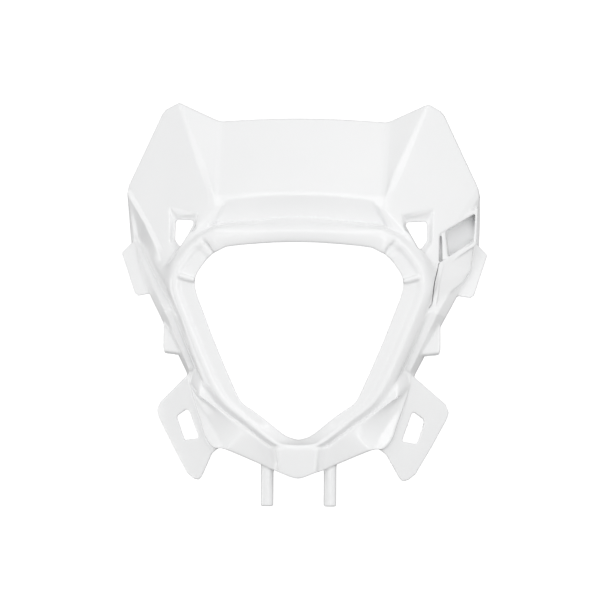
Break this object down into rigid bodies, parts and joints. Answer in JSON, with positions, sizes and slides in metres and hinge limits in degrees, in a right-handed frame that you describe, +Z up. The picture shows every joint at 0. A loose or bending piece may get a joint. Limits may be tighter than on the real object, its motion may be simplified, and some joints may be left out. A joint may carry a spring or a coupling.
{
  "type": "motorcycle headlight mask",
  "caption": "One-piece white plastic headlight mask with a shield-shaped lamp opening, horned top panel, strap slots in four wings, side tabs, a hose guide and round legs.",
  "frame": {"origin": "centre of the lamp opening, on the front of its flat land", "axes": "+Z up along the mask, -Y out of the front, +X to the right seen from the front"},
  "size_m": [0.2936, 0.0772, 0.3221],
  "materials": {
    "white_plastic": "glossy moulded"
  },
  "bodies": {
    "root": {"mask_shell": "white_plastic"}
  },
  "joints": []
}
